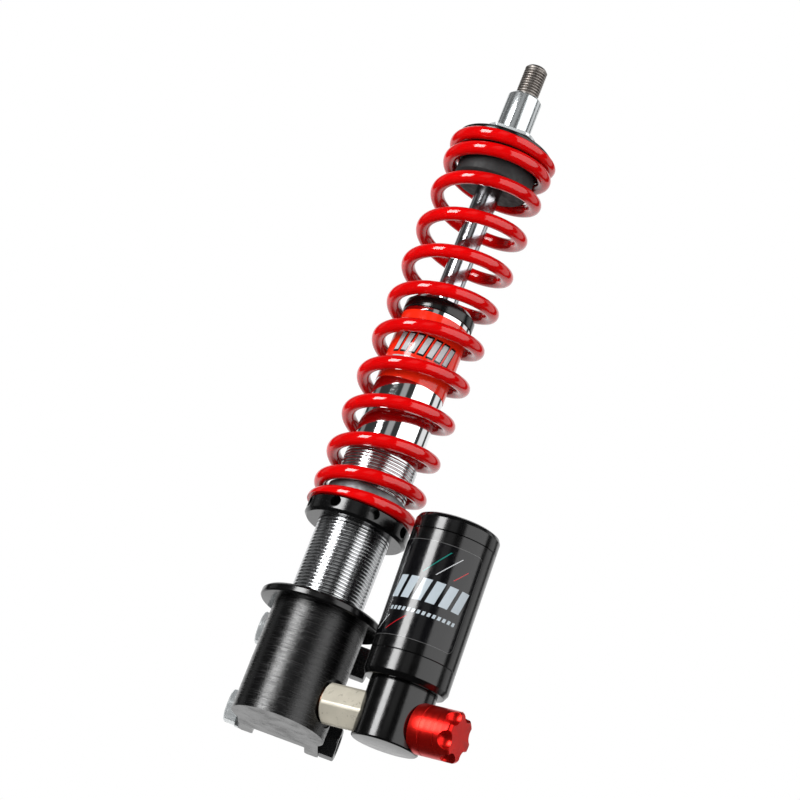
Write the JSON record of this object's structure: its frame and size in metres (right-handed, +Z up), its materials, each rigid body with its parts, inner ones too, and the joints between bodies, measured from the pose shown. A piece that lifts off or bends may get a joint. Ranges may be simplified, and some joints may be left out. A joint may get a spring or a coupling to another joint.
{
  "type": "coilover shock absorber",
  "caption": "Spring-over-damper strut with a red coil, top stud, clevis lower mount and a side gas reservoir with adjuster knob.",
  "frame": {"origin": "centre of the lower clevis seat, on the face between the two rails, midway between the bolts", "axes": "+Z up along the damper to the top stud, +Y out of the clevis away from the damper, +X across the clevis bolts from heads to nuts"},
  "size_m": [0.103, 0.0764, 0.3154],
  "materials": {
    "lower_mount": "black anodised, turned",
    "lower_flange": "black anodised",
    "mount_bolts": "bright zinc plate",
    "bolt_washers": "bright zinc plate",
    "mount_nuts": "black oxide",
    "damper_tube": "polished, lower length threaded",
    "tube_label": "printed gloss film",
    "seal_head": "black anodised",
    "rod_bush": "sintered bronze, PTFE lined",
    "rod_wiper": "moulded",
    "hex_link": "yellow zinc plate",
    "link_seals": "soft copper washers",
    "reservoir_housing": "gloss black",
    "reservoir_ring": "gloss black",
    "reservoir_tube": "gloss black",
    "reservoir_cap": "gloss black",
    "gas_valve": "machined",
    "reservoir_label": "printed gloss film",
    "adjuster_valve": "machined",
    "adjuster_needle": "ground",
    "adjuster_knob": "red anodised",
    "floating_piston": "machined",
    "floating_ring": "moulded",
    "spring_collar": "black anodised",
    "spring_sleeve": "tumbled",
    "spring": "gloss red powder coat",
    "rod": "hard chrome, plain steel stud",
    "upper_seat": "black anodised",
    "bump_stop": "moulded polyurethane",
    "top_spacer": "bright zinc plate",
    "damper_piston": "machined",
    "piston_band": "filled PTFE band",
    "shim_stack": "spring steel discs",
    "piston_nut": "plain steel",
    "topout_spacer": "acetal"
  },
  "bodies": {
    "damper_body": {"lower_mount": "lower_mount", "lower_flange": "lower_flange", "mount_bolts": "mount_bolts", "bolt_washers": "bolt_washers", "mount_nuts": "mount_nuts", "damper_tube": "damper_tube", "tube_label": "tube_label", "seal_head": "seal_head", "rod_bush": "rod_bush", "rod_wiper": "rod_wiper", "hex_link": "hex_link", "link_seals": "link_seals", "reservoir_housing": "reservoir_housing", "reservoir_ring": "reservoir_ring", "reservoir_tube": "reservoir_tube", "reservoir_cap": "reservoir_cap", "gas_valve": "gas_valve", "reservoir_label": "reservoir_label", "adjuster_valve": "adjuster_valve"},
    "adjuster": {"adjuster_knob": "adjuster_knob", "adjuster_needle": "adjuster_needle"},
    "gas_piston": {"floating_piston": "floating_piston", "floating_ring": "floating_ring"},
    "perch": {"spring_sleeve": "spring_sleeve", "spring": "spring"},
    "collar": {"spring_collar": "spring_collar"},
    "rod_assembly": {"rod": "rod", "upper_seat": "upper_seat", "bump_stop": "bump_stop", "top_spacer": "top_spacer", "damper_piston": "damper_piston", "piston_band": "piston_band", "shim_stack": "shim_stack", "piston_nut": "piston_nut", "topout_spacer": "topout_spacer"}
  },
  "joints": [
    {"name": "damper_stroke", "type": "slide", "parent": "damper_body", "child": "rod_assembly", "axis": [0, 0, 1], "range_m": [-0.055, 0], "stiffness_N_per_m": 17000, "springref_m": 0.006, "deforming": ["spring"]},
    {"name": "perch_travel", "type": "slide", "parent": "damper_body", "child": "perch", "axis": [0, 0, 1], "range_m": [-0.009, 0]},
    {"name": "collar_turn", "type": "hinge", "parent": "perch", "child": "collar", "pos_m": [0, -0.0205, 0.0665], "axis": [0, 0, 1], "range_deg": [-2161, 0]},
    {"name": "adjuster_turn", "type": "hinge", "parent": "damper_body", "child": "adjuster", "pos_m": [0.05984, -0.04833, -0.0114], "axis": [0.9063, -0.4226, 0], "range_deg": [-360, 360]},
    {"name": "gas_piston_travel", "type": "slide", "parent": "damper_body", "child": "gas_piston", "axis": [-0.028, -0.0601, 0.9978], "range_m": [-0.0002, 0.0072]}
  ],
  "couplings": [
    {"joint": "collar_turn", "follows": "perch_travel", "rad_per_m": 4188.8},
    {"joint": "gas_piston_travel", "follows": "damper_stroke", "ratio": -0.12591}
  ]
}
